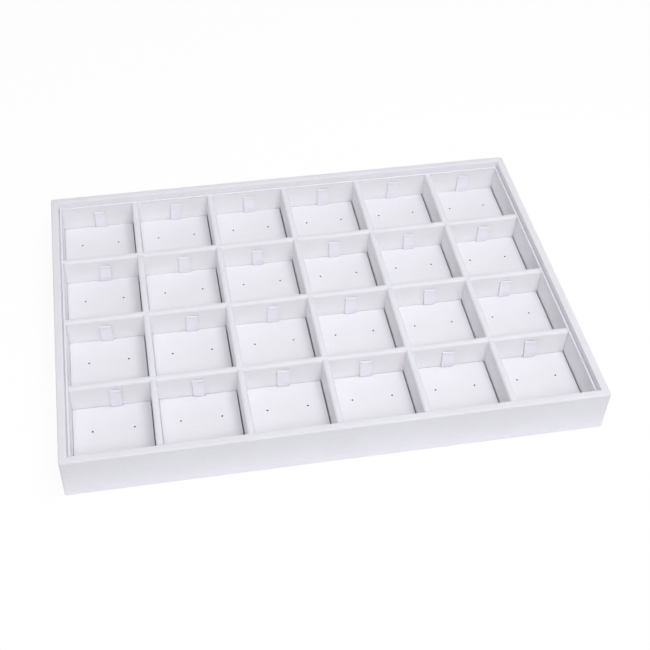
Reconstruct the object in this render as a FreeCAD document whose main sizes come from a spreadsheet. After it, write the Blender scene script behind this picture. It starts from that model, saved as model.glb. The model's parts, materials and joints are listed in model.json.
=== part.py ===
import FreeCAD, Part
import Sketcher
import os

# Jewelry display tray: a covered frame, a lift-out grid of compartments, and in each compartment a pad with
# two pin holes and a folding pull tab. Millimetres. The origin is the centre of the underside, +X runs to
# the right, +Y to the back and +Z up. Row 1 is the back row and column 1 the left column.

COLUMNS = 6
ROWS = 4

# Driving dimensions
SIZES = {
    "tray_length": 350.0,
    "tray_width": 245.0,
    "tray_height": 33.0,
    "wall_thickness": 5.2,
    "cover_thickness": 0.6,
    "corner_radius": 2.5,
    "top_edge_radius": 1.2,
    "lining_thickness": 0.5,
    "lining_inset": 2.0,
    "base_thickness": 2.5,
    "insert_side_clearance": 0.4,
    "insert_front_clearance": 0.3,
    "insert_drop": 5.0,
    "rim_thickness": 1.5,
    "divider_thickness": 4.7,
    "divider_edge_radius": 1.4,
    "lap_clearance": 0.1,
    "pad_thickness": 5.4,
    "pad_side_clearance": 0.9,
    "pad_front_clearance": 0.8,
    "pad_rear_clearance": 0.6,
    "pad_corner_radius": 1.0,
    "pad_edge_radius": 0.6,
    "pin_spacing": 26.9,
    "pin_setback": 19.4,
    "pin_diameter": 1.5,
    "tab_width": 7.8,
    "tab_thickness": 1.0,
    "tab_loop_diameter": 1.8,
    "tab_height": 15.0,
    "tab_side_clearance": 0.3,
    "tab_fold_rise": 0.55,
    "tab_fold_gap": 0.15,
}

doc = FreeCAD.newDocument("jewelry_tray")
sheet = doc.addObject("Spreadsheet::Sheet", "Sizes")
for line, (alias, value) in enumerate(SIZES.items(), start=1):
    sheet.set(f"A{line}", alias)
    sheet.set(f"B{line}", str(value))
    sheet.setAlias(f"B{line}", alias)
doc.recompute()

# Heights
FLOOR = "(Sizes.lining_thickness + Sizes.base_thickness)"
INSERT_HEIGHT = f"(Sizes.tray_height - Sizes.insert_drop - {FLOOR})"
RAIL_HEIGHT = f"(Sizes.tray_height - Sizes.cover_thickness - {FLOOR})"
COVER_HEIGHT = "(Sizes.tray_height - Sizes.lining_thickness)"

# Frame plan
BOARD_X = "(Sizes.tray_length - 2 * Sizes.cover_thickness)"
BOARD_Y = "(Sizes.tray_width - 2 * Sizes.cover_thickness)"
BOARD_CORNER = "(Sizes.corner_radius - Sizes.cover_thickness)"
RAIL_THICKNESS = "(Sizes.wall_thickness - 2 * Sizes.cover_thickness)"
SIDE_RAIL_LENGTH = f"({BOARD_Y} - 2 * {RAIL_THICKNESS})"
INSIDE_X = "(Sizes.tray_length - 2 * Sizes.wall_thickness)"
INSIDE_Y = "(Sizes.tray_width - 2 * Sizes.wall_thickness)"

# Grid plan
INSERT_X = f"({INSIDE_X} - 2 * Sizes.insert_side_clearance)"
INSERT_Y = f"({INSIDE_Y} - 2 * Sizes.insert_front_clearance)"
CELLS_X = f"({INSERT_X} - 2 * Sizes.rim_thickness)"
CELLS_Y = f"({INSERT_Y} - 2 * Sizes.rim_thickness)"
PITCH_X = f"(({CELLS_X} + Sizes.divider_thickness) / {COLUMNS})"
PITCH_Y = f"(({CELLS_Y} + Sizes.divider_thickness) / {ROWS})"
SLOT_WIDTH = "(Sizes.divider_thickness + 2 * Sizes.lap_clearance)"

# Pad and tab plan
PAD_X = f"({PITCH_X} - Sizes.divider_thickness - 2 * Sizes.pad_side_clearance)"
PAD_Y = f"({PITCH_Y} - Sizes.divider_thickness - Sizes.pad_front_clearance - Sizes.pad_rear_clearance)"
PAD_SHIFT = "((Sizes.pad_front_clearance - Sizes.pad_rear_clearance) / 2)"
NOTCH_WIDTH = "(Sizes.tab_width + 2 * Sizes.tab_side_clearance)"
TAB_ROW = f"(({PAD_Y} - Sizes.tab_thickness) / 2)"
FOLD_HEIGHT = f"({FLOOR} + Sizes.pad_thickness + Sizes.tab_fold_rise)"
TAIL_HEIGHT = "(Sizes.pad_thickness + Sizes.tab_fold_rise - Sizes.tab_thickness / 2 - Sizes.tab_fold_gap)"

# Radii, each limited by the wall that it rounds
TOP_RADIUS = "min(Sizes.top_edge_radius; 3 * Sizes.cover_thickness; 0.4 * Sizes.wall_thickness)"
DIVIDER_RADIUS = "min(Sizes.divider_edge_radius; 0.4 * Sizes.divider_thickness)"


def number(expression):
    """The present value of an expression on the sheet's sizes."""
    return float(sheet.evalExpression(expression))


def place(item, x, y, z):
    """Bind an object's position to the sheet."""
    for axis, expression in zip("xyz", (x, y, z)):
        item.setExpression(f".Placement.Base.{axis}", expression)


def make_box(name, length, width, height, x, y, z):
    """A box given by its sizes and by the middle of its underside."""
    box = doc.addObject("Part::Box", name)
    box.setExpression("Length", length)
    box.setExpression("Width", width)
    box.setExpression("Height", height)
    place(box, f"{x} - {length} / 2", f"{y} - {width} / 2", z)
    return box


def make_group(name, members):
    """One sub-part of several separate solids."""
    group = doc.addObject("Part::Compound", name)
    group.Links = members
    return group


def origin_feature(body, role):
    """One of the body's own origin planes or axes."""
    return next(feature for feature in body.Origin.OriginFeatures if feature.Role == role)


def make_sketch(body, name, plane, x="0", y="0", z="0"):
    """A sketch on one of the body's own planes, its origin moved in the plane's own axes."""
    sketch = body.newObject("Sketcher::SketchObject", name)
    sketch.AttachmentSupport = [(origin_feature(body, plane), "")]
    sketch.MapMode = "FlatFace"
    for axis, expression in zip("xyz", (x, y, z)):
        sketch.setExpression(f".AttachmentOffset.Base.{axis}", expression)
    return sketch


def add_size(sketch, name, expression, constraint):
    """Add a dimension to a sketch and bind it to the sheet."""
    sketch.renameConstraint(sketch.addConstraint(constraint), name)
    sketch.setExpression(f"Constraints.{name}", expression)


def draw_rectangle(sketch, width, depth):
    """A rectangle centred on the sketch's origin."""
    x = number(width) / 2
    y = number(depth) / 2
    corners = [FreeCAD.Vector(i * x, j * y, 0) for i, j in ((-1, -1), (1, -1), (1, 1), (-1, 1))]
    for side in range(4):
        sketch.addGeometry(Part.LineSegment(corners[side], corners[(side + 1) % 4]))
    for side in range(4):
        sketch.addConstraint(Sketcher.Constraint("Coincident", side, 2, (side + 1) % 4, 1))
        sketch.addConstraint(Sketcher.Constraint("Vertical" if side % 2 else "Horizontal", side))
    sketch.addConstraint(Sketcher.Constraint("Symmetric", 0, 1, 1, 2, -1, 1))
    add_size(sketch, "width", width, Sketcher.Constraint("DistanceX", 0, 1, 0, 2, 2 * x))
    add_size(sketch, "depth", depth, Sketcher.Constraint("DistanceY", 1, 1, 1, 2, 2 * y))


def draw_hole_pair(sketch, spacing, diameter):
    """Two equal circles on the sketch's X axis, one each side of its origin."""
    for side in (-1, 1):
        centre = FreeCAD.Vector(side * number(spacing) / 2, 0, 0)
        sketch.addGeometry(Part.Circle(centre, FreeCAD.Vector(0, 0, 1), number(diameter) / 2))
    sketch.addConstraint(Sketcher.Constraint("PointOnObject", 0, 3, -1))
    sketch.addConstraint(Sketcher.Constraint("Symmetric", 0, 3, 1, 3, -1, 1))
    sketch.addConstraint(Sketcher.Constraint("Equal", 0, 1))
    add_size(sketch, "spacing", spacing, Sketcher.Constraint("DistanceX", 0, 3, 1, 3, number(spacing)))
    add_size(sketch, "diameter", diameter, Sketcher.Constraint("Diameter", 0, number(diameter)))


def draw_looped_strip(sketch, thickness, loop, length):
    """A strip seen edge-on, its lower end round on the sketch's origin and its upper end a wider loop."""
    r = number(thickness) / 2
    wide = number(loop) / 2
    top = number(length)
    neck = (wide ** 2 - r ** 2) ** 0.5
    level = FreeCAD.Vector(1, 0, 0)
    normal = FreeCAD.Vector(0, 0, 1)
    half_turn = level.getAngle(FreeCAD.Vector(-1, 0, 0))
    below = level.getAngle(FreeCAD.Vector(r, neck, 0))
    lower = Part.Circle(FreeCAD.Vector(0, 0, 0), normal, r)
    upper = Part.Circle(FreeCAD.Vector(0, top, 0), normal, wide)
    sketch.addGeometry(Part.ArcOfCircle(lower, half_turn, 2 * half_turn))
    sketch.addGeometry(Part.LineSegment(FreeCAD.Vector(r, 0, 0), FreeCAD.Vector(r, top - neck, 0)))
    sketch.addGeometry(Part.ArcOfCircle(upper, -below, half_turn + below))
    sketch.addGeometry(Part.LineSegment(FreeCAD.Vector(-r, top - neck, 0), FreeCAD.Vector(-r, 0, 0)))
    sketch.addConstraint(Sketcher.Constraint("Tangent", 0, 2, 1, 1))
    sketch.addConstraint(Sketcher.Constraint("Coincident", 1, 2, 2, 1))
    sketch.addConstraint(Sketcher.Constraint("Coincident", 2, 2, 3, 1))
    sketch.addConstraint(Sketcher.Constraint("Tangent", 3, 2, 0, 1))
    sketch.addConstraint(Sketcher.Constraint("Coincident", 0, 3, -1, 1))
    sketch.addConstraint(Sketcher.Constraint("PointOnObject", 2, 3, -2))
    sketch.addConstraint(Sketcher.Constraint("Vertical", 1))
    add_size(sketch, "thickness", thickness, Sketcher.Constraint("Diameter", 0, 2 * r))
    add_size(sketch, "loop", loop, Sketcher.Constraint("Diameter", 2, 2 * wide))
    add_size(sketch, "length", length, Sketcher.Constraint("DistanceY", 0, 3, 2, 3, top))


def extrude(body, name, sketch, length):
    """Pad a sketch along its normal."""
    feature = body.newObject("PartDesign::Pad", name)
    feature.Profile = sketch
    feature.setExpression("Length", length)
    return feature


def cut(body, name, sketch, length, upward=False):
    """Pocket a level sketch, downward or upward."""
    feature = body.newObject("PartDesign::Pocket", name)
    feature.Profile = sketch
    feature.Reversed = upward
    feature.setExpression("Length", length)
    return feature


def is_upright(edge):
    """True for an edge along Z."""
    return edge.BoundBox.XLength < 1e-6 and edge.BoundBox.YLength < 1e-6


def is_level_at(height):
    """A test for edges that lie level at a height."""
    return lambda edge: max(abs(edge.BoundBox.ZMin - height), abs(edge.BoundBox.ZMax - height)) < 1e-6


def round_edges(body, name, base, test, radius):
    """Fillet the edges of a feature that pass a test."""
    doc.recompute()
    feature = body.newObject("PartDesign::Fillet", name)
    edges = [f"Edge{index}" for index, edge in enumerate(base.Shape.Edges, start=1) if test(edge)]
    feature.Base = (base, edges)
    feature.setExpression("Radius", radius)
    return feature


def make_block(name, width, depth, height):
    """A body that starts as an upright block, centred in plan on its own origin."""
    body = doc.addObject("PartDesign::Body", name)
    plan = make_sketch(body, f"{name}_plan", "XY_Plane")
    draw_rectangle(plan, width, depth)
    return body, extrude(body, f"{name}_block", plan, height)


def make_base_board():
    """The floor board, which carries the rails, the grid and the pads."""
    body, block = make_block("base_board", BOARD_X, BOARD_Y, "Sizes.base_thickness")
    round_edges(body, "base_board_corners", block, is_upright, BOARD_CORNER)
    place(body, "0", "0", "Sizes.lining_thickness")
    return body


def make_underside_lining():
    """The thin sheet under the base board, which the tray rests on."""
    length = "(Sizes.tray_length - 2 * Sizes.lining_inset)"
    width = "(Sizes.tray_width - 2 * Sizes.lining_inset)"
    return make_box("underside_lining", length, width, "Sizes.lining_thickness", "0", "0", "0")


def make_long_rail(name, side):
    """The front or back board of the frame, over the full length, with round outer corners."""
    body, block = make_block(name, BOARD_X, RAIL_THICKNESS, RAIL_HEIGHT)
    outer = side * number(RAIL_THICKNESS) / 2
    outer_corner = lambda edge: is_upright(edge) and abs(edge.BoundBox.YMin - outer) < 1e-6
    round_edges(body, f"{name}_corners", block, outer_corner, BOARD_CORNER)
    place(body, "0", f"{side} * ({BOARD_Y} - {RAIL_THICKNESS}) / 2", FLOOR)
    return body


def make_side_rail(name, side):
    """The left or right board of the frame, between the long rails."""
    x = f"{side} * ({BOARD_X} - {RAIL_THICKNESS}) / 2"
    return make_box(name, RAIL_THICKNESS, SIDE_RAIL_LENGTH, RAIL_HEIGHT, x, "0", FLOOR)


def make_frame_cover(boards):
    """The skin round the rails: up the outside, over the top and down the inside to the floor."""
    body, block = make_block("cover_envelope", "Sizes.tray_length", "Sizes.tray_width", COVER_HEIGHT)
    round_edges(body, "cover_corners", block, is_upright, "Sizes.corner_radius")
    inside = make_sketch(body, "cover_inside", "XY_Plane", z=COVER_HEIGHT)
    draw_rectangle(inside, INSIDE_X, INSIDE_Y)
    hollow = cut(body, "cover_hollow", inside, f"Sizes.tray_height - {FLOOR}")
    round_edges(body, "cover_top_edges", hollow, is_level_at(number(COVER_HEIGHT)), TOP_RADIUS)
    place(body, "0", "0", "Sizes.lining_thickness")
    filling = doc.addObject("Part::MultiFuse", "cover_filling")
    filling.Shapes = boards
    cover = doc.addObject("Part::Cut", "frame_cover")
    cover.Base = body
    cover.Tool = filling
    return cover


def make_rim_long_walls():
    """The two thin walls along the front and back of the grid."""
    walls = []
    for name, side in (("rim_front", -1), ("rim_back", 1)):
        y = f"{side} * ({INSERT_Y} - Sizes.rim_thickness) / 2"
        walls.append(make_box(name, INSERT_X, "Sizes.rim_thickness", INSERT_HEIGHT, "0", y, FLOOR))
    return make_group("rim_long_walls", walls)


def make_rim_end_walls():
    """The two thin walls at the left and right of the grid, between the long ones."""
    walls = []
    for name, side in (("rim_left", -1), ("rim_right", 1)):
        x = f"{side} * ({INSERT_X} - Sizes.rim_thickness) / 2"
        walls.append(make_box(name, "Sizes.rim_thickness", CELLS_Y, INSERT_HEIGHT, x, "0", FLOOR))
    return make_group("rim_end_walls", walls)


def make_divider(name, length, slots, pitch, slots_on_top):
    """A covered strip along X with a round top edge and half-lap slots."""
    body, block = make_block(name, length, "Sizes.divider_thickness", INSERT_HEIGHT)
    top = is_level_at(number(INSERT_HEIGHT))
    long_top = lambda edge: top(edge) and edge.BoundBox.YLength < 1e-6
    round_edges(body, f"{name}_edges", block, long_top, DIVIDER_RADIUS)
    first = f"-{slots - 1} * {pitch} / 2"
    level = INSERT_HEIGHT if slots_on_top else "0"
    depth = f"{INSERT_HEIGHT} / 2 + Sizes.lap_clearance / 2"
    plan = make_sketch(body, f"{name}_slot_plan", "XY_Plane", x=first, z=level)
    draw_rectangle(plan, SLOT_WIDTH, f"2 * {SLOT_WIDTH}")
    slot = cut(body, f"{name}_slot", plan, depth, upward=not slots_on_top)
    row = body.newObject("PartDesign::LinearPattern", f"{name}_slots")
    row.Originals = [slot]
    row.Direction = (origin_feature(body, "X_Axis"), [""])
    row.setExpression("Length", f"{slots - 1} * {pitch}")
    row.Occurrences = slots
    body.Tip = row
    return body


def make_long_dividers():
    """The dividers from left to right, whose tops run through at the crossings."""
    dividers = []
    for index in range(ROWS - 1):
        divider = make_divider(f"long_divider_{index + 1}", CELLS_X, COLUMNS - 1, PITCH_X, False)
        place(divider, "0", f"({ROWS / 2 - 1 - index}) * {PITCH_Y}", FLOOR)
        dividers.append(divider)
    return make_group("long_dividers", dividers)


def make_cross_dividers():
    """The dividers from front to back, slotted from above."""
    dividers = []
    for index in range(COLUMNS - 1):
        divider = make_divider(f"cross_divider_{index + 1}", CELLS_Y, ROWS - 1, PITCH_Y, True)
        divider.Placement.Rotation = FreeCAD.Rotation(FreeCAD.Vector(0, 0, 1), 90)
        place(divider, f"({index + 1 - COLUMNS / 2}) * {PITCH_X}", "0", FLOOR)
        dividers.append(divider)
    return make_group("cross_dividers", dividers)


def make_pad(name, x, y):
    """A covered pad with two pin holes, and the tab's tail fixed in a notch in its rear face."""
    body, block = make_block(f"{name}_board", PAD_X, PAD_Y, "Sizes.pad_thickness")
    corners = round_edges(body, f"{name}_corners", block, is_upright, "Sizes.pad_corner_radius")
    top = is_level_at(number("Sizes.pad_thickness"))
    round_edges(body, f"{name}_top_edge", corners, top, "Sizes.pad_edge_radius")
    row = f"{PAD_Y} / 2 - Sizes.pin_setback"
    pins = make_sketch(body, f"{name}_pins", "XY_Plane", y=row, z="Sizes.pad_thickness")
    draw_hole_pair(pins, "Sizes.pin_spacing", "Sizes.pin_diameter")
    cut(body, f"{name}_pin_holes", pins, "Sizes.pad_thickness")
    notch = make_sketch(body, f"{name}_notch_plan", "XY_Plane", y=f"{PAD_Y} / 2", z="Sizes.pad_thickness")
    draw_rectangle(notch, NOTCH_WIDTH, "2 * Sizes.tab_thickness")
    cut(body, f"{name}_notch", notch, "Sizes.pad_thickness")
    place(body, x, y, FLOOR)
    rear = f"({y} + {TAB_ROW})"
    tail = make_box(f"{name}_tail", "Sizes.tab_width", "Sizes.tab_thickness", TAIL_HEIGHT, x, rear, FLOOR)
    return make_group(name, [body, tail])


def make_tab(name, x, y):
    """The free end of a folded strip, looped at the top, which bends forward at the pad's rear edge."""
    body = doc.addObject("PartDesign::Body", name)
    profile = make_sketch(body, f"{name}_profile", "YZ_Plane", z="-Sizes.tab_width / 2")
    length = "(Sizes.tab_height - Sizes.tab_fold_rise - Sizes.tab_loop_diameter / 2)"
    draw_looped_strip(profile, "Sizes.tab_thickness", "Sizes.tab_loop_diameter", length)
    extrude(body, f"{name}_strip", profile, "Sizes.tab_width")
    place(body, x, f"({y} + {TAB_ROW})", FOLD_HEIGHT)
    return body


def make_pads_and_tabs():
    """A pad and a tab for each compartment."""
    made = []
    for row in range(ROWS):
        for column in range(COLUMNS):
            x = f"(({column - (COLUMNS - 1) / 2}) * {PITCH_X})"
            y = f"(({(ROWS - 1) / 2 - row}) * {PITCH_Y} + {PAD_SHIFT})"
            spot = f"r{row + 1}_c{column + 1}"
            made.append(make_pad(f"pad_{spot}", x, y))
            made.append(make_tab(f"tab_{spot}", x, y))
    return made


def make_tray():
    """All sub-parts."""
    base_board = make_base_board()
    rails = [make_long_rail("front_rail", -1), make_long_rail("back_rail", 1)]
    rails += [make_side_rail("left_rail", -1), make_side_rail("right_rail", 1)]
    frame = [base_board, make_underside_lining(), *rails, make_frame_cover([base_board, *rails])]
    grid = [make_rim_long_walls(), make_rim_end_walls(), make_long_dividers(), make_cross_dividers()]
    return frame + grid + make_pads_and_tabs()


subparts = make_tray()
doc.recompute()

for item in doc.Objects:
    if "Invalid" in item.State or "Error" in item.State:
        raise RuntimeError(f"{item.Label} failed: {item.State}")
for subpart in subparts:
    if subpart.Shape.isNull() or not subpart.Shape.isValid():
        raise RuntimeError(f"{subpart.Label} has no valid shape")

os.makedirs("parts", exist_ok=True)
for subpart in subparts:
    subpart.Shape.exportStep(f"parts/{subpart.Label}.step")
    print(subpart.Label, len(subpart.Shape.Solids), "solids,", round(subpart.Shape.Volume, 1), "mm3")
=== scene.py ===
import json
import math

import bmesh
import bpy
from mathutils import Matrix, Vector, noise
from mathutils.geometry import delaunay_2d_cdt


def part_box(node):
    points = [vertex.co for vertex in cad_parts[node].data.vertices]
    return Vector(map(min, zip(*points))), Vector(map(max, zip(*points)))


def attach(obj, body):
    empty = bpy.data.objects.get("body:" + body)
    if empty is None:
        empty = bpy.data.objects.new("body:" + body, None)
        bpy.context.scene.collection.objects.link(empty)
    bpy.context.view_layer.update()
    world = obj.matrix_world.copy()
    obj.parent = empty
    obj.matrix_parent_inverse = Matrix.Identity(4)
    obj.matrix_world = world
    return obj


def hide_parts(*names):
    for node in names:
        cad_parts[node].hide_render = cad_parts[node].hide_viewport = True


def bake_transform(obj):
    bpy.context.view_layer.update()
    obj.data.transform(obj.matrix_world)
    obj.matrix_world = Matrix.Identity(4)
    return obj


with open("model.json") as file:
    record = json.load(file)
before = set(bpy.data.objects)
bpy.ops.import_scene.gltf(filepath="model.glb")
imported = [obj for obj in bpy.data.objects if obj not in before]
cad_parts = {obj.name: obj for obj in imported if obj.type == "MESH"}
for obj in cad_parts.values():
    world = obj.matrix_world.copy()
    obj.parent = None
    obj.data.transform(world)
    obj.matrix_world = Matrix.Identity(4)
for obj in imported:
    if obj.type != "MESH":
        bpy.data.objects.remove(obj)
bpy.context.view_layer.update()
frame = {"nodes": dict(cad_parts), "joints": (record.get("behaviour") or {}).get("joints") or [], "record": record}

# The looks of the jewelry display tray, in metres and in the CAD model's frame: the wrapped frame,
# the grid of covered strips, the padded boards with their pin holes, and the folded pull tabs
# behind them.

MM = 0.001

# Places read from the CAD model
ROWS = 4
COLUMNS = 6
SPOTS = [f"r{row}_c{column}" for row in range(1, ROWS + 1) for column in range(1, COLUMNS + 1)]
COVER_LOW, COVER_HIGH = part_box("frame_cover")
RAIL_LOW, RAIL_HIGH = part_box("front_rail")
HALF_X, HALF_Y, TOP = COVER_HIGH
SKIN = RAIL_LOW.y - COVER_LOW.y
WALL = RAIL_HIGH.y - COVER_LOW.y + SKIN
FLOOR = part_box("base_board")[1].z
INSERT_X, INSERT_Y, GRID_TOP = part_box("rim_long_walls")[1]
CELLS_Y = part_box("rim_end_walls")[1].y
RIM = INSERT_Y - CELLS_Y
CELLS_X = INSERT_X - RIM
CROSS_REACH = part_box("cross_dividers")[1].x
DIVIDER = (CROSS_REACH - (COLUMNS - 2) * CELLS_X / COLUMNS) * COLUMNS / (COLUMNS - 1)
PITCH_X = (2 * CELLS_X + DIVIDER) / COLUMNS
PITCH_Y = (2 * CELLS_Y + DIVIDER) / ROWS
HINGES = {joint["name"].removeprefix("tab_fold_"): Vector(joint["pos_m"])
          for joint in frame["joints"] if joint["type"] == "hinge"}
PINS = {mount["name"].removeprefix("pin_pair_"): mount
        for mount in frame["record"]["mounts"] if mount["kind"] == "bolt_pattern"}
TAB_LOW, TAB_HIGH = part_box("tab_r1_c1")
TAB_WIDTH = TAB_HIGH.x - TAB_LOW.x

# The frame's cover: its corners and edges, and the creases at its mitres
CORNER = 1.6 * MM
INNER_CORNER = 0.4 * MM
CORNER_STEPS = 12
FRAME_SIDE_STEPS = 48
OUTER_EDGE = 0.8 * MM
INNER_EDGE = 0.5 * MM
EDGE_STEPS = 6
FRAME_FOOT = 0.2 * MM
FRAME_CROWN = 0.08 * MM
CREASE_DEPTH = 0.3 * MM
CREASE_WIDTH = 0.35 * MM
MITRE_REACH = 4 * CORNER

# The grid's strips
DIVIDER_EDGE = 1.5 * MM
RIM_EDGE = 0.45 * MM
LONG_RIM_SWELL = 0.21 * MM
END_RIM_SWELL = 0.3 * MM
SWELL_START = 0.55 * MM
STRIP_FOOT = 0.3 * MM
STRIP_STEP = 7 * MM
STRIP_END = 0.25 * MM
LAPPED_END = 0.05 * MM
LAP = 1.0 * MM
SEAM = 0.03 * MM

# The pads, with a dent behind for the ribbon
PAD_CORNER = 1.0 * MM
PAD_INNER_CORNER = 0.3 * MM
PAD_CORNER_ROOM = 4 * MM
PAD_EDGE = 0.4 * MM
PAD_FOOT = 0.5 * MM
PAD_BEVEL = 0.12 * MM
PAD_SHOULDER = 2.6 * MM
PAD_CROWN = 0.2 * MM
PAD_PULL = 0.08 * MM
PAD_SWELL = 0.55 * MM
PAD_SEAT = Vector((-0.31 * MM, 0.56 * MM))
PAD_SIDE_STEPS = 14
PAD_STEP = 5 * MM
PAD_MARGIN = 3.5 * MM
DENT = 1.3 * MM
DENT_ROOM = 0.3 * MM
DENT_SLOPE = 0.07

# A pierced hole, from its lip down: radius as a share of the bore's, depth below the pad's top;
# then its foot and the room kept round it in the same shares, and how many steps the cover lines
HOLE_SECTION = ((2.0, 0.0), (1.4, 0.05 * MM), (1.0, 0.15 * MM), (0.78, 0.4 * MM), (0.7, 1.2 * MM))
HOLE_FOOT = 0.7
HOLE_ROOM = 3.0
# Below the lined steps, the hole's walls take a near-black tone: painted shade in the hole
HOLE_LIP = 3
HOLE_STEPS = 20

# The pull tabs
RIBBON = 0.42 * MM
LOOP = 0.42 * MM
TAB_SEAT = 0.4 * MM
TAB_GAP = 0.22 * MM
TAB_BELLY = 0.16 * MM
TAB_BOW = 0.18 * MM
TAIL_END = 0.3 * MM
TURN_SHARE = 1 / 3
TAIL_SLANT = 0.3
PATH_STEPS = 4
RIBBON_STEPS = 6

# Unevenness of the covers: the size of its waves, and their depth
FRAME_SIDE_WAVE = (30 * MM, 0.1 * MM)
FRAME_TOP_WAVE = (24 * MM, 0.1 * MM)
STRIP_SIDE_WAVE = (22 * MM, 0.07 * MM)
STRIP_TOP_WAVE = (15 * MM, 0.12 * MM)
PAD_WAVE = (14 * MM, 0.12 * MM)
RIBBON_WAVE = (6 * MM, 0.15 * MM)

# How each pull tab stands: sideways shift at its fold and at the pad (mm), its turn about the
# vertical (degrees), and the height of its fold above the usual one (mm)
TABS = {
    "r1_c1": (1.5, 1.7, -2, -0.5),
    "r1_c2": (2.0, 1.8, -4, 0),
    "r1_c3": (1.6, 1.5, -5, 0),
    "r1_c4": (2.4, 2.1, -8, 0.8),
    "r1_c5": (1.0, 0.9, -6, 0.8),
    "r1_c6": (0.8, 0.3, -5, 0.4),
    "r2_c1": (2.8, 2.2, -9, -0.3),
    "r2_c2": (2.6, 2.6, -4, 0),
    "r2_c3": (-1.1, 0.1, -9, -0.7),
    "r2_c4": (-0.4, 0.6, -3, -0.5),
    "r2_c5": (-0.3, 0.4, -6, -0.5),
    "r2_c6": (0.6, 0.4, -8, -0.7),
    "r3_c1": (-0.4, 0.4, -4, -0.8),
    "r3_c2": (2.1, 1.9, -6, -0.2),
    "r3_c3": (2.5, 2.0, -6, 0.4),
    "r3_c4": (0.7, 0.8, -2, 0.4),
    "r3_c5": (0.9, 1.6, -4, -0.2),
    "r3_c6": (0.2, 0.4, -5, 0),
    "r4_c1": (3.3, 3.2, -6, 0.7),
    "r4_c2": (-0.2, 0.9, -3, 0.8),
    "r4_c3": (-0.3, 0.0, -6, 0.6),
    "r4_c4": (-1.1, -0.5, -2, -0.2),
    "r4_c5": (-1.3, -0.9, -7, -0.3),
    "r4_c6": (-0.5, 0.8, -9, 0.8),
}

# Camera, from the perspective of the tray in the photograph: focal length and centre in pixels
IMAGE = 650
FOCAL = 1155.47
CENTRE = (302.52, 282.17)
CAMERA_PLACE = (-0.11092, -0.55277, 0.60287)
CAMERA_AZIMUTH = math.radians(10.824)
CAMERA_ELEVATION = math.radians(44.95)
CAMERA_ROLL = math.radians(1.53)
SENSOR = 36.0
CLIP_START = 0.01

# Light: the world's level, and each lamp's place, width and power in watts
WORLD_LEVEL = 0.475
LAMPS = {
    "front": ((0.18, -1.64, 2.36), 1.44, 40.5),
    "overhead": ((0.15, -0.05, 0.70), 0.25, 0.76),
    "right": ((2.03, 0.0, 2.03), 1.44, 4.2),
}

# Stage
STAGE_REACH = 4.0
STAGE_DROP = 0.1 * MM
PALE_REACH = 80 * MM
GLOW_REACH = 60 * MM

# Tones
WHITE = (1.0, 1.0, 1.0, 1.0)
# Painted shade on the grid's tops: its darker tint, and the depths below the top where it starts and where it is
# full
TOP_PAINTED_SHADE = (0.88, 0.893, 0.93)
TOP_SHADE_START = 1.6 * MM
TOP_SHADE_FULL = 0.5 * MM
# Painted shade on the ribbon's upward-facing fold: its darker tint
FOLD_PAINTED_SHADE = (0.88, 0.88, 0.9)


# Materials

# Sockets of the Mix node that serve colours
MIX_FACTOR, MIX_FIRST, MIX_SECOND, MIX_RESULT = 0, 6, 7, 2


def node(tree, kind, **values):
    """A shader node with its input values set by socket name."""
    made = tree.nodes.new(kind)
    for name, value in values.items():
        made.inputs[name.replace("_", " ")].default_value = value
    return made


def noise_node(tree, place, scale, detail=3.0, roughness=0.55):
    made = node(tree, "ShaderNodeTexNoise", Scale=scale, Detail=detail, Roughness=roughness)
    tree.links.new(place, made.inputs["Vector"])
    return made.outputs["Fac"]


def remap(tree, source, low, high, start=0.3, end=0.7):
    """A value moved from the range start to end into the range low to high."""
    made = node(tree, "ShaderNodeMapRange", From_Min=start, From_Max=end, To_Min=low, To_Max=high)
    tree.links.new(source, made.inputs["Value"])
    return made.outputs["Result"]


def colour_mix(tree, factor, second, kind="MIX"):
    """A Mix node for colours, with its factor and its second colour set."""
    made = tree.nodes.new("ShaderNodeMix")
    made.data_type = "RGBA"
    made.blend_type = kind
    made.inputs[MIX_SECOND].default_value = (*second, 1.0)
    tree.links.new(factor, made.inputs[MIX_FACTOR])
    return made


def blend_colours(tree, factor, low, high):
    made = colour_mix(tree, factor, high)
    made.inputs[MIX_FIRST].default_value = (*low, 1.0)
    return made.outputs[MIX_RESULT]


def with_painted_shade(tree, factor, colour, tint):
    """The colour, multiplied by a darker tint where the factor is 1: painted shade."""
    made = colour_mix(tree, factor, tint, "MULTIPLY")
    tree.links.new(colour, made.inputs[MIX_FIRST])
    return made.outputs[MIX_RESULT]


def axis_part(tree, place, axis):
    split = tree.nodes.new("ShaderNodeSeparateXYZ")
    tree.links.new(place, split.inputs[0])
    return split.outputs[axis]


def calculate(tree, operation, *values):
    """A Math node over numbers or sockets."""
    made = tree.nodes.new("ShaderNodeMath")
    made.operation = operation
    for socket, value in zip(made.inputs, values):
        if isinstance(value, (int, float)):
            socket.default_value = value
        else:
            tree.links.new(value, socket)
    return made.outputs[0]


def weighted_sum(tree, first, first_weight, second, second_weight):
    first_part = calculate(tree, "MULTIPLY", first, first_weight)
    second_part = calculate(tree, "MULTIPLY", second, second_weight)
    return calculate(tree, "ADD", first_part, second_part)


def stretched(tree, place, x, y, z):
    """The place, stretched per axis."""
    made = node(tree, "ShaderNodeMapping", Scale=(x, y, z))
    tree.links.new(place, made.inputs["Vector"])
    return made.outputs["Vector"]


def start_material(name):
    material = bpy.data.materials.new(name)
    material.use_nodes = True
    tree = material.node_tree
    place = tree.nodes.new("ShaderNodeTexCoord").outputs["Object"]
    return material, tree, tree.nodes["Principled BSDF"], place


def finish_surface(tree, shader, colour, roughness, height, distance, strength):
    bump = node(tree, "ShaderNodeBump", Strength=strength, Distance=distance)
    tree.links.new(height, bump.inputs["Height"])
    tree.links.new(colour, shader.inputs["Base Color"])
    tree.links.new(roughness, shader.inputs["Roughness"])
    tree.links.new(bump.outputs["Normal"], shader.inputs["Normal"])


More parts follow.
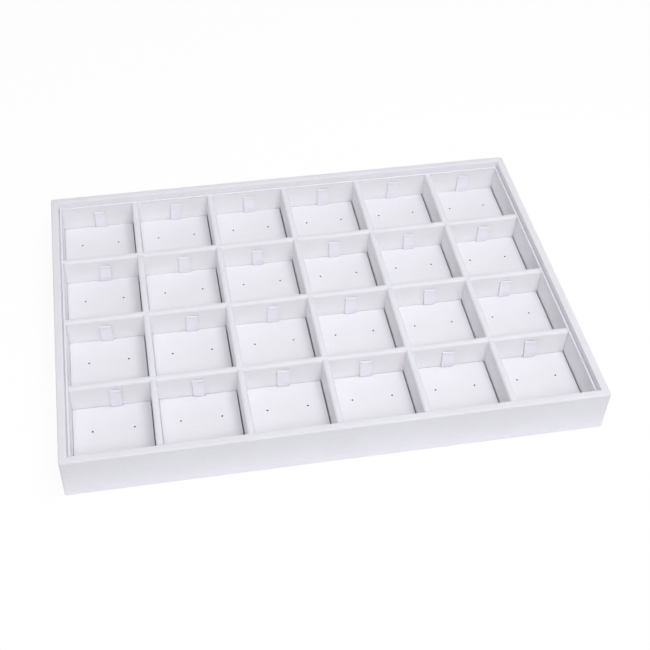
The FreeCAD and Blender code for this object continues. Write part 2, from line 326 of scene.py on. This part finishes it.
def leatherette(name, dark, light, roughness, grain, shaded_top_height=None):
    """Embossed covering: pebbles of the grain's size, a fine tooth and a slightly uneven tone.

    Near the given height the colour takes a darker tint: painted shade on the tops."""
    material, tree, shader, place = start_material(name)
    shift = node(tree, "ShaderNodeTexNoise", Scale=700.0, Detail=2.0)
    tree.links.new(place, shift.inputs["Vector"])
    warp = tree.nodes.new("ShaderNodeVectorMath")
    warp.operation = "MULTIPLY_ADD"
    warp.inputs[1].default_value = (0.4 * grain,) * 3
    tree.links.new(shift.outputs["Color"], warp.inputs[0])
    tree.links.new(place, warp.inputs[2])
    cells = node(tree, "ShaderNodeTexVoronoi", Scale=1.0 / grain)
    tree.links.new(warp.outputs["Vector"], cells.inputs["Vector"])
    pebble = remap(tree, cells.outputs["Distance"], low=1.0, high=0.0, start=0.1, end=0.75)
    tooth = noise_node(tree, place, scale=2600.0, detail=4.0)
    clouds = noise_node(tree, place, scale=45.0)
    tone = weighted_sum(tree, pebble, 0.35, clouds, 0.65)
    light_share = remap(tree, tone, low=0.0, high=1.0, start=0.25, end=0.8)
    colour = blend_colours(tree, light_share, dark, light)
    if shaded_top_height is not None:
        # Painted shade: a darker tint over the top of each strip
        top_shade = remap(tree, axis_part(tree, place, "Z"), low=0.0, high=1.0,
                          start=shaded_top_height - TOP_SHADE_START, end=shaded_top_height - TOP_SHADE_FULL)
        colour = with_painted_shade(tree, top_shade, colour, TOP_PAINTED_SHADE)
    rough = remap(tree, tooth, low=roughness - 0.07, high=roughness + 0.08)
    height = weighted_sum(tree, pebble, 0.7, tooth, 0.5)
    finish_surface(tree, shader, colour, rough, height, distance=0.06 * MM, strength=0.5)
    shader.inputs["Specular IOR Level"].default_value = 0.3
    return material


def ribbon_weave(name, dark, light):
    """Satin ribbon: fine ribs across it, threads along it, a soft sheen, and painted shade on its upward-facing
    fold.
    """
    material, tree, shader, place = start_material(name)
    ribs = node(tree, "ShaderNodeTexWave", Scale=1.0, Distortion=0.6, Detail=1.0)
    ribs.bands_direction = "Z"
    tree.links.new(stretched(tree, place, 300.0, 300.0, 900.0), ribs.inputs["Vector"])
    along = stretched(tree, place, 2400.0, 2400.0, 260.0)
    threads = noise_node(tree, along, scale=1.0, detail=2.0)
    clouds = noise_node(tree, place, scale=120.0, detail=2.0)
    tone = weighted_sum(tree, threads, 0.4, clouds, 0.6)
    colour = blend_colours(tree, remap(tree, tone, low=0.0, high=1.0), dark, light)
    # Painted shade: a darker tint where the ribbon faces up, over its fold
    upward = axis_part(tree, place.node.outputs["Normal"], "Z")
    fold_shade = remap(tree, upward, low=0.0, high=1.0, start=0.15, end=0.75)
    colour = with_painted_shade(tree, fold_shade, colour, FOLD_PAINTED_SHADE)
    rough = remap(tree, threads, low=0.55, high=0.68)
    height = calculate(tree, "ADD", ribs.outputs["Fac"], threads)
    finish_surface(tree, shader, colour, rough, height, distance=0.03 * MM, strength=0.4)
    shader.inputs["Sheen Weight"].default_value = 0.06
    shader.inputs["Specular IOR Level"].default_value = 0.15
    return material


def fibreboard(name, dark, light):
    """Pressed board: short matted fibres and darker flecks."""
    material, tree, shader, place = start_material(name)
    matted = stretched(tree, place, 1400.0, 420.0, 900.0)
    fibres = noise_node(tree, matted, scale=1.0, detail=5.0, roughness=0.65)
    scattered = stretched(tree, place, 500.0, 900.0, 700.0)
    flecks = noise_node(tree, scattered, scale=1.0, detail=2.0)
    tone = weighted_sum(tree, fibres, 0.6, flecks, 0.4)
    light_share = remap(tree, tone, low=0.0, high=1.0, start=0.35, end=0.65)
    colour = blend_colours(tree, light_share, dark, light)
    rough = remap(tree, fibres, low=0.75, high=0.9)
    finish_surface(tree, shader, colour, rough, fibres, distance=0.08 * MM, strength=0.5)
    return material


def pressed_paper(name, dark, light):
    """Uncoated lining paper: cloudy pulp with fine tooth."""
    material, tree, shader, place = start_material(name)
    pulp = noise_node(tree, place, scale=180.0, detail=5.0, roughness=0.6)
    tooth = noise_node(tree, place, scale=3200.0)
    light_share = remap(tree, pulp, low=0.0, high=1.0, start=0.35, end=0.65)
    colour = blend_colours(tree, light_share, dark, light)
    rough = remap(tree, tooth, low=0.8, high=0.92)
    finish_surface(tree, shader, colour, rough, tooth, distance=0.04 * MM, strength=0.4)
    return material


FRAME_COVER = leatherette(
    "frame_leatherette", dark=(0.725, 0.72, 0.775), light=(0.774, 0.769, 0.829),
    roughness=0.55, grain=0.9 * MM)
# A paler tone for the frame's inner walls: painted light on them
FRAME_INSIDE_PAINTED_LIGHT = leatherette(
    "frame_inside_painted_light", dark=(0.81, 0.80, 0.84), light=(0.86, 0.85, 0.89),
    roughness=0.6, grain=0.8 * MM)
GRID_COVER = leatherette(
    "grid_leatherette", dark=(0.835, 0.823, 0.853), light=(0.885, 0.873, 0.903),
    roughness=0.62, grain=0.7 * MM, shaded_top_height=GRID_TOP)
PAD_COVER = leatherette(
    "pad_leatherette", dark=(0.763, 0.758, 0.803), light=(0.803, 0.798, 0.843),
    roughness=0.6, grain=0.7 * MM)
# Near-black walls deep in the pin holes: painted shade for their darkness
HOLE_PAINTED_SHADE = fibreboard("hole_painted_shade", dark=(0.03, 0.028, 0.03), light=(0.06, 0.056, 0.06))
TAB_RIBBON = ribbon_weave("tab_ribbon", dark=(0.845, 0.835, 0.9), light=(0.895, 0.885, 0.95))
BOARD = fibreboard("pressed_fibreboard", dark=(0.30, 0.29, 0.285), light=(0.42, 0.41, 0.40))
PAPER = pressed_paper("lining_paper", dark=(0.70, 0.70, 0.715), light=(0.76, 0.76, 0.775))


# Meshes

class Shell:
    """Points and faces of a piece while it is built."""

    def __init__(self):
        self.points = []
        self.faces = []
        self.slots = []

    def ring(self, points):
        """Adds the points and gives their numbers."""
        start = len(self.points)
        self.points.extend(Vector(point) for point in points)
        return list(range(start, len(self.points)))

    def face(self, corners, slot=0):
        self.faces.append(corners)
        self.slots.append(slot)

    def bridge(self, first, second, closed=True, slot=0):
        """Quads between two rings of equal length."""
        count = len(first)
        for index in range(count if closed else count - 1):
            after = (index + 1) % count
            self.face((first[index], second[index], second[after], first[after]), slot)

    def fill(self, outline, holes, inner, height, slot=0):
        """A level face with holes, triangulated with loose inner points; height gives their z."""
        used = list(outline)
        edges = [(i, (i + 1) % len(outline)) for i in range(len(outline))]
        for hole in holes:
            first = len(used)
            used.extend(hole)
            edges.extend((first + i, first + (i + 1) % len(hole)) for i in range(len(hole)))
        used.extend(self.ring([(x, y, height(x, y)) for x, y in inner]))
        origin = self.points[outline[0]].xy
        flat = [(self.points[index].xy - origin) / MM for index in used]
        inside_only, closeness = 1, 1e-6
        _, _, triangles, sources, _, _ = delaunay_2d_cdt(flat, edges, [], inside_only, closeness)
        names = [used[source[0]] for source in sources]
        rims = [set(hole) for hole in holes]
        for triangle in triangles:
            corners = tuple(names[index] for index in triangle)
            if not any(rim.issuperset(corners) for rim in rims):
                self.face(corners, slot)

    def piece(self, name, materials, sharp=40.0):
        """The finished object, with outward normals and edges sharp above the given angle."""
        mesh = bpy.data.meshes.new(name)
        mesh.from_pydata(self.points, [], self.faces)
        for material in materials:
            mesh.materials.append(material)
        mesh.polygons.foreach_set("material_index", self.slots)
        working = bmesh.new()
        working.from_mesh(mesh)
        bmesh.ops.recalc_face_normals(working, faces=working.faces)
        working.to_mesh(mesh)
        working.free()
        mesh.polygons.foreach_set("use_smooth", [True] * len(mesh.polygons))
        mesh.set_sharp_from_angle(angle=math.radians(sharp))
        made = bpy.data.objects.new(name, mesh)
        bpy.context.scene.collection.objects.link(made)
        return made


def arc(radius, start, end, steps):
    """Points of an arc round the origin, angles in degrees."""
    angles = [math.radians(start + (end - start) * i / steps) for i in range(steps + 1)]
    return [(radius * math.cos(angle), radius * math.sin(angle)) for angle in angles]


def circle(centre, radius):
    return [centre + Vector(point) for point in arc(radius, 0, 360, HOLE_STEPS)[:-1]]


def ripple(point, size, amount):
    """A smooth unevenness with waves of about the given size."""
    return amount * noise.noise(point / size)


def even_stops(count):
    """The shares that divide a length into equal parts, without its ends."""
    return [step / count for step in range(1, count)]


def rounded_ring(half_x, half_y, radius, arc_steps, side_stops, back_stops=()):
    """The points of a rounded rectangle, anticlockwise from the right.

    The stops are shares of each side; those of the back side may be given as places along x,
    from right to left."""
    signs = ((1, 1), (-1, 1), (-1, -1), (1, -1))
    centres = [Vector((i * (half_x - radius), j * (half_y - radius))) for i, j in signs]
    points = []
    for corner, centre in enumerate(centres):
        onward = centres[(corner + 1) % len(centres)]
        turn = arc(radius, 90 * corner, 90 * corner + 90, arc_steps)
        points.extend(centre + Vector(point) for point in turn)
        edge = points[-1] - centre
        stops = side_stops
        if corner == 0 and back_stops:
            stops = [(centre.x - stop) / (centre.x - onward.x) for stop in back_stops]
        points.extend(centre.lerp(onward, stop) + edge for stop in stops)
    return points


def make_frame_cover():
    """The wrapped frame: up the outside, over the soft top and down the inside, creased at mitres.

    Each point of its section is an inset from the tray's outline and a height."""
    low = COVER_LOW.z
    bevel = FRAME_FOOT / 4
    outside = [(FRAME_FOOT, low), (bevel, low + bevel), (0.0, low + FRAME_FOOT)]
    outside += [(0.0, low + share * (TOP - OUTER_EDGE - low)) for share in even_stops(5)]
    outside += [(OUTER_EDGE + x, TOP - OUTER_EDGE - FRAME_CROWN + y)
                for x, y in arc(OUTER_EDGE, 180, 90, EDGE_STEPS)]
    outside += [(WALL * share, TOP) for share in (0.3, 0.5, 0.75)]
    outside += [(WALL - INNER_EDGE + x, TOP - INNER_EDGE - FRAME_CROWN + y)
                for x, y in arc(INNER_EDGE, 90, 0, EDGE_STEPS)]
    # From the middle of the inner top edge down the inside wall, the cover takes the paler tone: painted light
    painted_light_start = len(outside) - EDGE_STEPS // 2
    outside += [(WALL, FLOOR + share * (TOP - INNER_EDGE - FLOOR))
                for share in (0.75, 0.5, 0.25, 0.0)]
    hidden = 0.9 * SKIN
    inside = [(WALL - hidden, FLOOR), (WALL - hidden, TOP - hidden),
              (hidden, TOP - hidden), (hidden, low)]
    near_corner = [0.0008, 0.0018, 0.0035, 0.007]
    stops = near_corner + even_stops(FRAME_SIDE_STEPS)
    stops += [1 - stop for stop in reversed(near_corner)]
    shell = Shell()
    rings = []
    for number, (inset, height) in enumerate(outside + inside):
        radius = max(CORNER - inset, INNER_CORNER)
        on_top = max(0.0, 1 - (TOP - height) / OUTER_EDGE)
        points = []
        for x, y in rounded_ring(HALF_X - inset, HALF_Y - inset, radius, CORNER_STEPS, stops):
            place = Vector((x, y, height))
            if number < len(outside):
                from_mitre = ((HALF_X - abs(x)) - (HALF_Y - abs(y))) / math.sqrt(2)
                straight = min(1.0, abs(from_mitre) / MITRE_REACH)
                inward = Vector((-x / HALF_X, -y / HALF_Y, 0))
                place += inward * straight * max(0.0, ripple(place, *FRAME_SIDE_WAVE))
                place.z -= on_top * max(0.0, ripple(place, *FRAME_TOP_WAVE))
                place.z -= on_top * CREASE_DEPTH * math.exp(-(from_mitre / CREASE_WIDTH) ** 2)
            points.append(place)
        rings.append(shell.ring(points))
    for number, (first, second) in enumerate(zip(rings, rings[1:] + rings[:1])):
        shell.bridge(first, second, slot=1 if painted_light_start <= number < len(outside) else 0)
    cover = shell.piece("frame_wrap", [FRAME_COVER, FRAME_INSIDE_PAINTED_LIGHT])
    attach(cover, "tray_frame")
    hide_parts("frame_cover")


def add_strip(shell, start, end, thickness, edge, soft=STRIP_END, swell=0.0):
    """A covered strip between two floor points, with soft top edges and slightly rounded ends.

    Below the top edge it may swell to its left (positive) or to its right."""
    along = (end - start).normalized()
    across = Vector((-along.y, along.x, 0))
    half = thickness / 2
    edge = min(edge, 0.85 * half)
    dome = 0.08 * edge
    foot = min(STRIP_FOOT, 0.4 * half)
    outline = [(-half + foot + x, FLOOR + foot + y) for x, y in arc(foot, 270, 180, 2)]
    outline += [(-half, FLOOR + share * (GRID_TOP - edge - FLOOR)) for share in (0.35, 0.7)]
    outline += [(-half, GRID_TOP - edge - dome - below) for below in (0.5 * MM, 0.2 * MM)]
    outline += [(-half + edge + x, GRID_TOP - edge - dome + y)
                for x, y in arc(edge, 180, 90, EDGE_STEPS)]
    outline += [(0.0, GRID_TOP)]
    outline += [(-x, z) for x, z in reversed(outline[:-1])]
    length = (end - start).length
    count = max(4, round(length / STRIP_STEP))
    middle = [soft + (length - 2 * soft) * share for share in even_stops(count)]
    rings = []
    for station in (0.0, soft, *middle, length - soft, length):
        shrink = soft if station in (0.0, length) else 0.0
        points = []
        for x, z in outline:
            x -= math.copysign(min(abs(x), shrink), x)
            z = max(FLOOR, min(z, GRID_TOP - shrink))
            if x * swell > 0 and z < GRID_TOP - SWELL_START:
                x += swell
            place = start + along * station + across * x
            place.z = z
            place += across * ripple(place, *STRIP_SIDE_WAVE)
            if z > GRID_TOP - edge:
                place.z -= max(0.0, ripple(place, *STRIP_TOP_WAVE))
            points.append(place)
        rings.append(shell.ring(points))
    for first, second in zip(rings, rings[1:]):
        shell.bridge(first, second)
    shell.face(tuple(rings[0]))
    shell.face(tuple(reversed(rings[-1])))


def make_grid():
    """The thin rim walls, the long dividers and the cross dividers that lap into them."""
    long_rim = Shell()
    end_rim = Shell()
    long_dividers = Shell()
    cross_dividers = Shell()
    for side in (-1, 1):
        y = side * (INSERT_Y - RIM / 2)
        ends = Vector((-INSERT_X, y, 0)), Vector((INSERT_X, y, 0))
        add_strip(long_rim, *ends, RIM, RIM_EDGE, swell=side * LONG_RIM_SWELL)
        x = side * (INSERT_X - RIM / 2)
        reach = CELLS_Y - SEAM
        ends = Vector((x, -reach, 0)), Vector((x, reach, 0))
        add_strip(end_rim, *ends, RIM, RIM_EDGE, swell=-side * END_RIM_SWELL)
    for row in range(1, ROWS):
        y = CELLS_Y + DIVIDER / 2 - row * PITCH_Y
        reach = CELLS_X - SEAM
        ends = Vector((-reach, y, 0)), Vector((reach, y, 0))
        add_strip(long_dividers, *ends, DIVIDER, DIVIDER_EDGE)
    for column in range(1, COLUMNS):
        x = -CELLS_X - DIVIDER / 2 + column * PITCH_X
        for row in range(ROWS):
            back = CELLS_Y - row * PITCH_Y + (LAP if row > 0 else -SEAM)
            front = CELLS_Y + DIVIDER - (row + 1) * PITCH_Y - (LAP if row < ROWS - 1 else -SEAM)
            ends = Vector((x, front, 0)), Vector((x, back, 0))
            add_strip(cross_dividers, *ends, DIVIDER, DIVIDER_EDGE, soft=LAPPED_END)
    shells = {"rim_long_walls": long_rim, "rim_end_walls": end_rim,
              "long_dividers": long_dividers, "cross_dividers": cross_dividers}
    for name, shell in shells.items():
        wrap = shell.piece(f"{name}_wrap", [GRID_COVER])
        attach(wrap, "divider_grid")
        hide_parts(name)


def pad_back_stops(half_x, dent_x, dent_half):
    """Places along a pad's rear edge, from right to left, closest at the sides of the dent."""
    end = half_x - PAD_CORNER_ROOM
    dent_right = dent_x + dent_half
    dent_left = dent_x - dent_half
    steps = 7
    stops = [(1 - step / steps) * (end - dent_right) + dent_right for step in range(steps)]
    dent_shares = (1.0, 0.965, 0.93, 0.6, 0.2, -0.2, -0.6, -0.93, -0.965)
    stops += [dent_x + dent_half * share for share in dent_shares]
    stops += [dent_left - step / steps * (end + dent_left) for step in range(steps + 1)]
    return stops


def make_pad(spot):
    """A covered pad: crowned top, soft edges, a dent behind and two pierced holes."""
    low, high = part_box(f"pad_{spot}")
    half_x = (high.x - low.x) / 2 + PAD_SWELL
    half_y = (high.y - low.y) / 2
    middle = (low + high).xy / 2 + PAD_SEAT
    _, foot_shift, _, _ = TABS[spot]
    dent_x = HINGES[spot].x + foot_shift * MM - middle.x
    dent_half = TAB_WIDTH / 2 + DENT_ROOM
    back_stops = pad_back_stops(half_x, dent_x, dent_half)
    mount = PINS[spot]
    pin_x, pin_y, rim = mount["pos_m"]

    def surface(x, y):
        u = (x - middle.x) / half_x
        v = (y - middle.y) / half_y
        swell = max(0.0, 1 - u ** 4) * max(0.0, 1 - v ** 4)
        wave = max(0.0, ripple(Vector((x, y, 0)), *PAD_WAVE))
        return rim - PAD_CROWN * (1 - swell) - wave

    profile = [(PAD_FOOT, FLOOR), (PAD_BEVEL, FLOOR + PAD_BEVEL), (0.0, FLOOR + PAD_FOOT)]
    profile += [(0.0, FLOOR + share * (rim - PAD_EDGE - FLOOR)) for share in (0.35, 0.7)]
    profile += [(PAD_EDGE + x, rim - PAD_EDGE + y) for x, y in arc(PAD_EDGE, 180, 90, EDGE_STEPS)]
    profile += [(PAD_SHOULDER, rim)]
    shell = Shell()
    rings = []
    for inset, height in profile:
        corner = max(PAD_CORNER - inset, PAD_INNER_CORNER)
        outline = rounded_ring(half_x - inset, half_y - inset, corner, EDGE_STEPS,
                               even_stops(PAD_SIDE_STEPS), back_stops)
        share = max(0.0, (height - FLOOR) / (rim - FLOOR)) ** 3
        points = []
        for x, y in outline:
            if y > 0:
                into_dent = (dent_half - abs(x - dent_x)) / (DENT_SLOPE * dent_half)
                y -= DENT * min(1.0, max(0.0, into_dent))
            pull_x = x * math.cos(math.pi * y / half_y / 2) / half_x
            pull_y = y * math.cos(math.pi * x / half_x / 2) / half_y
            x += middle.x - PAD_PULL * pull_x
            y += middle.y - PAD_PULL * pull_y
            points.append((x, y, height - (rim - surface(x, y)) * share))
        rings.append(shell.ring(points))
    for first, second in zip(rings, rings[1:]):
        shell.bridge(first, second)

    radius = mount["dims"]["hole_r_mm"] * MM
    spacing = mount["dims"]["spacing_x_mm"] * MM
    centres = [Vector((pin_x + side * spacing, pin_y)) for side in (-0.5, 0.5)]
    tops = []
    feet = []
    for centre in centres:
        hole = []
        for share, depth in HOLE_SECTION:
            hole.append(shell.ring([(p.x, p.y, surface(p.x, p.y) - depth)
                                    for p in circle(centre, share * radius)]))
        hole.append(shell.ring([(p.x, p.y, FLOOR) for p in circle(centre, HOLE_FOOT * radius)]))
        for index, (first, second) in enumerate(zip(hole, hole[1:])):
            # Below the lip, the hole's walls take the near-black tone: painted shade
            shell.bridge(first, second, slot=0 if index < HOLE_LIP else 1)
        tops.append(hole[0])
        feet.append(hole[-1])

    inner = []
    steps_x = int((half_x - PAD_MARGIN) / PAD_STEP)
    steps_y = int((half_y - PAD_MARGIN) / PAD_STEP)
    for i in range(-steps_x, steps_x + 1):
        for j in range(-steps_y, steps_y + 1):
            place = Vector((middle.x + i * PAD_STEP, middle.y + j * PAD_STEP))
            if all((place - centre).length > HOLE_ROOM * radius for centre in centres):
                inner.append((place.x, place.y))
    shell.fill(rings[-1], tops, inner, surface)
    shell.fill(rings[0], feet, [], surface)
    pad = shell.piece(f"pad_{spot}_cushion", [PAD_COVER, HOLE_PAINTED_SHADE])
    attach(pad, f"pad_{spot}")
    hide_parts(f"pad_{spot}")


def smooth_path(points, steps):
    """A Catmull-Rom curve through the points."""
    padded = [points[0] * 2 - points[1], *points, points[-1] * 2 - points[-2]]
    curve = []
    for a, b, c, d in zip(padded, padded[1:], padded[2:], padded[3:]):
        for step in range(steps):
            t = step / steps
            curve.append(0.5 * (2 * b + (c - a) * t + (2 * a - 5 * b + 4 * c - d) * t * t
                                + (3 * b - a - 3 * c + d) * t ** 3))
    curve.append(points[-1])
    return curve


def ribbon_path(hinge_height, top):
    """The ribbon's section, as depth and height: up in front, over a small loop and down behind."""
    gap = TAB_GAP
    belly = TAB_GAP + TAB_BELLY
    centre = top - LOOP - RIBBON / 2
    rise = [Vector(point) for point in (
        (-gap, FLOOR + TAIL_END),
        (-gap, hinge_height - 3 * MM),
        (-gap, hinge_height),
        (-0.5 * (gap + belly), hinge_height + 1.5 * MM),
        (-belly, hinge_height + 4 * MM),
        (-0.7 * belly - 0.3 * gap, hinge_height + 7 * MM),
        (-0.9 * gap, centre - 2.6 * MM),
        (-0.85 * gap, centre - 1.6 * MM),
        (-0.85 * LOOP, centre - 0.6 * MM),
        (-LOOP, centre),
        (-0.7 * LOOP, centre + 0.7 * LOOP),
    )]
    fall = [Vector((-point.x, point.y)) for point in reversed(rise)]
    return smooth_path([*rise, Vector((0, centre + LOOP)), *fall], PATH_STEPS)


def make_tab(spot):
    """A strip of ribbon folded over a small loop at the top, both ends fixed behind the pad.

    Its turn and bow grow over the lowest part above the pad; its slant goes on into the tail."""
    low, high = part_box(f"tab_{spot}")
    hinge = HINGES[spot]
    fold_shift, foot_shift, turn, lift = TABS[spot]
    top = high.z + lift * MM
    half_width = (high.x - low.x) / 2
    path = ribbon_path(hinge.z, top)
    shell = Shell()
    faces = {1: [], -1: []}
    for index, place in enumerate(path):
        before = path[max(index - 1, 0)]
        after = path[min(index + 1, len(path) - 1)]
        forward = (after - before).normalized()
        normal = Vector((-forward.y, forward.x))
        for side in (1, -1):
            skin = place + normal * side * RIBBON / 2
            share = (skin.y - hinge.z) / (top - hinge.z)
            free = max(0.0, min(1.0, share / TURN_SHARE))
            free = free * free * (3 - 2 * free)
            angle = math.radians(turn) * free
            shift = foot_shift + (fold_shift - foot_shift) * max(-TAIL_SLANT, share)
            points = []
            for step in range(RIBBON_STEPS + 1):
                across = (step / RIBBON_STEPS * 2 - 1) * half_width
                bow = TAB_BOW * (1 - (across / half_width) ** 2) * free
                x = across * math.cos(angle) + shift * MM
                y = skin.x - bow + (across + half_width) * math.sin(angle)
                point = Vector((hinge.x + x, hinge.y + TAB_SEAT + y, skin.y))
                point.x += ripple(point, *RIBBON_WAVE)
                points.append(point)
            faces[side].append(shell.ring(points))
    for side in (1, -1):
        for first, second in zip(faces[side], faces[side][1:]):
            shell.bridge(first, second, closed=False)
    front, back = faces[1], faces[-1]
    for index in range(len(path) - 1):
        for end in (0, RIBBON_STEPS):
            shell.face((front[index][end], front[index + 1][end],
                        back[index + 1][end], back[index][end]))
    for index in (0, len(path) - 1):
        shell.bridge(front[index], back[index], closed=False)
    tab = shell.piece(f"tab_{spot}_ribbon", [TAB_RIBBON], sharp=50.0)
    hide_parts(f"tab_{spot}")
    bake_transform(tab)


def dress_boards():
    """Materials for the boards and the lining, which keep their CAD shapes."""
    surfaces = {"base_board": BOARD, "front_rail": BOARD, "back_rail": BOARD,
                "left_rail": BOARD, "right_rail": BOARD, "underside_lining": PAPER}
    for name, material in surfaces.items():
        mesh = frame["nodes"][name].data
        mesh.materials.clear()
        mesh.materials.append(material)


# Stage, light and camera

def shown_ray(tree):
    """1 for rays that show the background: from the camera, or through gloss or glass."""
    path = tree.nodes.new("ShaderNodeLightPath")
    seen = calculate(tree, "MAXIMUM", path.outputs["Is Camera Ray"], path.outputs["Is Glossy Ray"])
    return calculate(tree, "MAXIMUM", seen, path.outputs["Is Transmission Ray"])


def mix_shaders(tree, factor, first, second):
    made = tree.nodes.new("ShaderNodeMixShader")
    for source, socket in zip((factor, first.outputs[0], second.outputs[0]), made.inputs):
        tree.links.new(source, socket)
    return made


def floor_material():
    """White to the camera, with a faint shadow of the tray; it lights the tray from close by."""
    material = bpy.data.materials.new("studio_floor")
    material.use_nodes = True
    tree = material.node_tree
    tree.nodes.remove(tree.nodes["Principled BSDF"])
    place = tree.nodes.new("ShaderNodeTexCoord").outputs["Object"]

    def past_edge(axis, half):
        distance = calculate(tree, "ABSOLUTE", axis_part(tree, place, axis))
        return calculate(tree, "SUBTRACT", distance, half)

    beside = calculate(tree, "MAXIMUM", past_edge("X", HALF_X), past_edge("Y", HALF_Y))
    plain = tree.nodes.new("ShaderNodeBsdfDiffuse")
    paleness = remap(tree, beside, low=1.0, high=0.6, start=0.0, end=PALE_REACH)
    tree.links.new(paleness, plain.inputs["Color"])
    glow = node(tree, "ShaderNodeEmission", Color=WHITE)
    glow_level = remap(tree, beside, low=0.2, high=0.0, start=0.0, end=GLOW_REACH)
    tree.links.new(glow_level, glow.inputs["Strength"])
    lit = tree.nodes.new("ShaderNodeAddShader")
    tree.links.new(plain.outputs[0], lit.inputs[0])
    tree.links.new(glow.outputs[0], lit.inputs[1])

    away = tree.nodes.new("ShaderNodeVectorMath")
    away.operation = "LENGTH"
    tree.links.new(place, away.inputs[0])
    shadow_share = remap(tree, away.outputs["Value"], low=0.12, high=0.0, start=0.35, end=1.3)
    white = node(tree, "ShaderNodeEmission", Color=WHITE, Strength=1.0)
    shadowed = node(tree, "ShaderNodeBsdfDiffuse", Color=WHITE)
    seen = mix_shaders(tree, shadow_share, white, shadowed)
    choice = mix_shaders(tree, shown_ray(tree), lit, seen)
    tree.links.new(choice.outputs[0], tree.nodes["Material Output"].inputs["Surface"])
    return material


def make_stage():
    """A pale floor, and a world that is white behind it."""
    shell = Shell()
    corners = ((-1, -1), (1, -1), (1, 1), (-1, 1))
    shell.face(tuple(shell.ring([(i * STAGE_REACH, j * STAGE_REACH, 0) for i, j in corners])))
    floor = shell.piece("studio_floor", [floor_material()])
    floor.location.z = -STAGE_DROP

    world = bpy.data.worlds.new("studio")
    world.use_nodes = True
    bpy.context.scene.world = world
    tree = world.node_tree
    background = tree.nodes["Background"]
    strength = remap(tree, shown_ray(tree), low=WORLD_LEVEL, high=1.0, start=0.0, end=1.0)
    tree.links.new(strength, background.inputs["Strength"])
    background.inputs["Color"].default_value = WHITE


def make_lamps():
    """Square lamps that face the tray's middle and stay out of the picture."""
    for name, (place, width, power) in LAMPS.items():
        data = bpy.data.lights.new(f"lamp_{name}", "AREA")
        data.shape = "SQUARE"
        data.size = width
        data.energy = power
        lamp = bpy.data.objects.new(f"lamp_{name}", data)
        lamp.location = place
        lamp.visible_camera = False
        lamp.rotation_euler = (-Vector(place)).to_track_quat("-Z", "Y").to_euler()
        bpy.context.scene.collection.objects.link(lamp)


def make_camera():
    """The camera at the photograph's place, with its focal length and image centre."""
    data = bpy.data.cameras.new("camera")
    data.sensor_width = SENSOR
    data.lens = SENSOR * FOCAL / IMAGE
    data.shift_x = (IMAGE / 2 - CENTRE[0]) / IMAGE
    data.shift_y = (CENTRE[1] - IMAGE / 2) / IMAGE
    data.clip_start = CLIP_START
    camera = bpy.data.objects.new("camera", data)
    bpy.context.scene.collection.objects.link(camera)
    flat = math.cos(CAMERA_ELEVATION)
    ahead = Vector((math.sin(CAMERA_AZIMUTH) * flat, math.cos(CAMERA_AZIMUTH) * flat,
                    -math.sin(CAMERA_ELEVATION)))
    level = Vector((math.cos(CAMERA_AZIMUTH), -math.sin(CAMERA_AZIMUTH), 0))
    right = Matrix.Rotation(-CAMERA_ROLL, 3, ahead) @ level
    up = right.cross(ahead)
    turn = Matrix((right, up, -ahead)).transposed().to_4x4()
    camera.matrix_world = Matrix.Translation(CAMERA_PLACE) @ turn
    bpy.context.scene.camera = camera


make_frame_cover()
make_grid()
for spot in SPOTS:
    make_pad(spot)
    make_tab(spot)
dress_boards()
make_stage()
make_lamps()
make_camera()
bpy.context.scene.view_settings.view_transform = "Standard"
